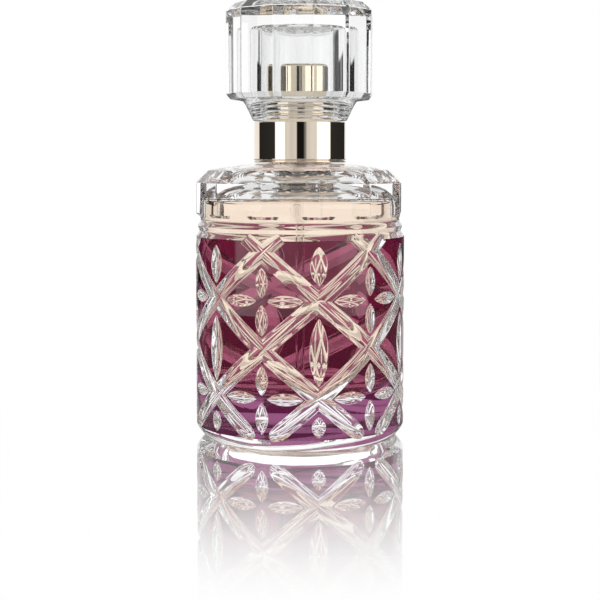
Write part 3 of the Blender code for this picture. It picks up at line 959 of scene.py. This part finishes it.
class PERFUME_OT_stage(bpy.types.Operator):
    """Lays the pale floor, the soft studio and the camera"""

    bl_idname = "perfume.stage"
    bl_label = "Stage"

    def execute(self, context):
        settings = context.scene.stage_settings
        self.floor(settings)
        self.studio(context.scene, settings)
        self.camera(context.scene, settings)
        context.scene.view_settings.view_transform = "Standard"
        context.scene.cycles.max_bounces = MOST_BOUNCES
        context.scene.cycles.transmission_bounces = MOST_BOUNCES
        context.scene.cycles.glossy_bounces = MOST_MIRRORED
        context.scene.cycles.blur_glossy = 0.0
        return {"FINISHED"}

    def floor(self, settings):
        bm = bmesh.new()
        bmesh.ops.create_circle(bm, cap_ends=True, segments=128, radius=settings.floor_radius)
        bmesh.ops.translate(bm, verts=bm.verts, vec=(0, 0, -0.00005))
        bmesh.ops.recalc_face_normals(bm, faces=bm.faces)
        obj = mesh_object("floor", bm, [self.floor_finish(settings.turn)])

    def floor_finish(self, turn):
        """Polished white acrylic lit from below.

        Rays other than the camera's own see its glow dimmed by a painted shade, lighter near the bottle and
        in the narrow sector straight behind it. They also see painted bright panels on it where they come
        down steeply after a single bounce.
        """
        material = new_material("floor_white", (0.06, 0.06, 0.06), Roughness=1.0, Specular_IOR_Level=0.0)
        tree = material.node_tree
        shader = shader_of(material)
        shader.inputs["Emission Color"].default_value = WHITE
        mirror = tree.nodes.new("ShaderNodeBsdfGlossy")
        mirror.inputs["Color"].default_value = WHITE
        mirror.inputs["Roughness"].default_value = MIRROR_ROUGHNESS
        place = tree.nodes.new("ShaderNodeTexCoord")
        reach = tree.nodes.new("ShaderNodeVectorMath")
        reach.operation = "LENGTH"
        path = tree.nodes.new("ShaderNodeLightPath")
        graze = tree.nodes.new("ShaderNodeLayerWeight")
        tree.links.new(place.outputs["Object"], reach.inputs[0])
        away = self.round_angle(tree, place.outputs["Object"], turn)
        # Painted shade: rays other than the camera's see the floor dim, lighter near the bottle and straight
        # behind it.
        behind = self.eased_range(tree, self.maths(tree, "ABSOLUTE", away, 0.0), FAR_BEHIND)
        near = self.eased_range(tree, reach.outputs["Value"], NEAR_SHADE)
        rear = self.eased_range(tree, self.maths(tree, "ABSOLUTE", away, 0.0), REAR_SHADE)
        shade = self.maths(tree, "ADD", self.maths(tree, "MULTIPLY", near, rear), behind)
        # Painted bright panels on the floor, seen only by steep rays after a single bounce.
        first = self.maths(tree, "LESS_THAN", path.outputs["Ray Depth"], 1.5)
        steep = self.eased_range(tree, graze.outputs["Facing"], STEEPNESS)
        wave = self.maths(tree, "COSINE", self.maths(tree, "MULTIPLY", away, PANELS), 0.0)
        panels = self.eased_range(tree, wave, PANEL_GLOW)
        lit = self.maths(tree, "MULTIPLY", self.maths(tree, "MULTIPLY", first, steep), panels)
        shade = self.maths(tree, "MAXIMUM", shade, lit)
        direct = path.outputs["Is Camera Ray"]
        glow = self.maths(tree, "MULTIPLY_ADD", direct, self.maths(tree, "SUBTRACT", FLOOR_GLOW, shade))
        tree.links.new(shade, glow.node.inputs[2])
        tree.links.new(glow, shader.inputs["Emission Strength"])
        polish = self.eased_range(tree, reach.outputs["Value"], POLISH)
        slant = self.eased_range(tree, graze.outputs["Facing"], SLANT)
        share = self.maths(tree, "MULTIPLY", self.maths(tree, "MULTIPLY", polish, slant), direct)
        blend = tree.nodes.new("ShaderNodeMixShader")
        tree.links.new(share, blend.inputs[0])
        tree.links.new(shader.outputs[0], blend.inputs[1])
        tree.links.new(mirror.outputs[0], blend.inputs[2])
        tree.links.new(blend.outputs[0], tree.nodes["Material Output"].inputs["Surface"])
        return material

    def eased_range(self, tree, value, limits):
        """Maps a value from the first two limits to the last two, easing in and out."""
        node = tree.nodes.new("ShaderNodeMapRange")
        node.interpolation_type = "SMOOTHSTEP"
        for socket, limit in zip(list(node.inputs)[1:5], limits):
            socket.default_value = limit
        tree.links.new(value, node.inputs["Value"])
        return node.outputs["Result"]

    def studio(self, scene, settings):
        world = bpy.data.worlds.new("soft_studio")
        scene.world = world
        world.use_nodes = True
        world.cycles.sampling_method = "NONE"
        tree = world.node_tree
        tree.nodes.clear()
        path = tree.nodes.new("ShaderNodeLightPath")
        place = tree.nodes.new("ShaderNodeTexCoord")
        away = self.round_angle(tree, place.outputs["Generated"], settings.turn)
        share = self.maths(tree, "ADD", self.maths(tree, "DIVIDE", away, 2 * math.pi), 0.5)
        parts = tree.nodes.new("ShaderNodeSeparateXYZ")
        tree.links.new(place.outputs["Generated"], parts.inputs["Vector"])
        upward = parts.outputs["Z"]
        white = self.plain(tree, BACKDROP)
        upper = self.band(tree, share, upward, UPPER, UPPER_EDGE, white)
        middle = self.band(tree, share, upward, MIDDLE, MIDDLE_EDGE, upper)
        raised = self.band(tree, share, upward, REFLECTED_RAISED, RAISED_EDGE, middle)
        level = self.band(tree, share, upward, REFLECTED, LEVEL_EDGE, raised)
        mirrored = self.band(tree, share, upward, REFLECTED_LOW, LOW_EDGE, level)
        through = self.band(tree, share, upward, THROUGH, THROUGH_EDGE, middle)
        crossed = self.maths(tree, "GREATER_THAN", path.outputs["Transmission Depth"], 0.5)
        unmirrored = self.maths(tree, "LESS_THAN", path.outputs["Glossy Depth"], 0.5)
        seen_through = self.maths(tree, "MULTIPLY", crossed, unmirrored)
        light = self.choose(tree, seen_through, mirrored, through)
        light = self.choose(tree, path.outputs["Is Singular Ray"], white, light)
        soft = self.plain(tree, SOFT_LIGHT)
        backdrop = self.plain(tree, BACKDROP)
        light = self.choose(tree, path.outputs["Is Diffuse Ray"], light, soft)
        light = self.choose(tree, path.outputs["Is Camera Ray"], light, backdrop)
        out = tree.nodes.new("ShaderNodeOutputWorld")
        tree.links.new(light, out.inputs["Surface"])

    def round_angle(self, tree, vector, turn):
        """The angle of a place or direction round the bottle, 0 on the camera's side and pi behind."""
        turned_back = tree.nodes.new("ShaderNodeVectorRotate")
        turned_back.rotation_type = "Z_AXIS"
        turned_back.inputs["Angle"].default_value = -turn
        parts = tree.nodes.new("ShaderNodeSeparateXYZ")
        tree.links.new(vector, turned_back.inputs["Vector"])
        tree.links.new(turned_back.outputs["Vector"], parts.inputs["Vector"])
        towards = self.maths(tree, "MULTIPLY", parts.outputs["Y"], -1.0)
        return self.maths(tree, "ARCTAN2", parts.outputs["X"], towards)

    def maths(self, tree, operation, first, second):
        node = tree.nodes.new("ShaderNodeMath")
        node.operation = operation
        for socket, value in zip(node.inputs, (first, second)):
            if isinstance(value, float):
                socket.default_value = value
            else:
                tree.links.new(value, socket)
        return node.outputs[0]

    def plain(self, tree, strength):
        node = tree.nodes.new("ShaderNodeBackground")
        node.inputs["Color"].default_value = WHITE
        node.inputs["Strength"].default_value = strength
        return node.outputs[0]

    def band(self, tree, share, upward, stops, edge, above):
        """A ring of light and dark panels round the horizon, which gives way to what is above it."""
        ramp = tree.nodes.new("ShaderNodeValToRGB")
        elements = ramp.color_ramp.elements
        while len(elements) < len(stops):
            elements.new(0.5)
        for element, (degrees, _) in zip(elements, stops):
            element.position = degrees / 360 + 0.5
        for element, (_, level) in zip(elements, stops):
            element.color = (*(level / BRIGHTEST,) * 3, 1.0)
        tree.links.new(share, ramp.inputs["Fac"])
        rise = self.eased_range(tree, upward, (*edge, 0.0, 1.0))
        lit = tree.nodes.new("ShaderNodeBackground")
        lit.inputs["Strength"].default_value = BRIGHTEST
        tree.links.new(ramp.outputs["Color"], lit.inputs["Color"])
        return self.choose(tree, rise, lit.outputs[0], above)

    def choose(self, tree, factor, first, second):
        node = tree.nodes.new("ShaderNodeMixShader")
        tree.links.new(factor, node.inputs[0])
        tree.links.new(first, node.inputs[1])
        tree.links.new(second, node.inputs[2])
        return node.outputs[0]

    def camera(self, scene, settings):
        data = bpy.data.cameras.new("camera")
        data.lens = settings.lens
        data.sensor_width = 36.0
        data.shift_y = settings.shift
        data.clip_start = 0.01
        data.clip_end = 10.0
        obj = bpy.data.objects.new("camera", data)
        scene.collection.objects.link(obj)
        obj.location = (
            settings.distance * math.sin(settings.turn),
            -settings.distance * math.cos(settings.turn),
            settings.height,
        )
        obj.rotation_euler = (math.pi / 2 - settings.tilt, 0.0, settings.turn)
        scene.camera = obj


# ---------------------------------------------------------------- add-on


class PERFUME_PT_bottle(bpy.types.Panel):
    """Lists the bottle's settings and the operators that model it"""

    bl_label = "Perfume bottle"
    bl_idname = "PERFUME_PT_bottle"
    bl_space_type = "VIEW_3D"
    bl_region_type = "UI"
    bl_category = "Perfume"

    def draw(self, context):
        layout = self.layout
        scene = context.scene
        for group in (scene.bottle_sizes, scene.bottle_finishes, scene.stage_settings):
            box = layout.box()
            for name in group.__annotations__:
                box.prop(group, name)
        for operator in OPERATORS:
            layout.operator(operator.bl_idname)


OPERATORS = (
    PERFUME_OT_glass_bottle, PERFUME_OT_perfume, PERFUME_OT_pump, PERFUME_OT_collar, PERFUME_OT_button,
    PERFUME_OT_cap, PERFUME_OT_stage,
)
CLASSES = (BottleSizes, Finishes, StageSettings, *OPERATORS, PERFUME_PT_bottle)


def register():
    for item in CLASSES:
        bpy.utils.register_class(item)
    bpy.types.Scene.bottle_sizes = bpy.props.PointerProperty(type=BottleSizes)
    bpy.types.Scene.bottle_finishes = bpy.props.PointerProperty(type=Finishes)
    bpy.types.Scene.stage_settings = bpy.props.PointerProperty(type=StageSettings)


def unregister():
    del bpy.types.Scene.stage_settings
    del bpy.types.Scene.bottle_finishes
    del bpy.types.Scene.bottle_sizes
    for item in reversed(CLASSES):
        bpy.utils.unregister_class(item)


def main():
    register()
    bpy.ops.perfume.glass_bottle()
    bpy.ops.perfume.perfume()
    bpy.ops.perfume.pump()
    bpy.ops.perfume.collar()
    bpy.ops.perfume.button()
    bpy.ops.perfume.cap()
    bpy.ops.perfume.stage()


if __name__ == "__main__":
    main()
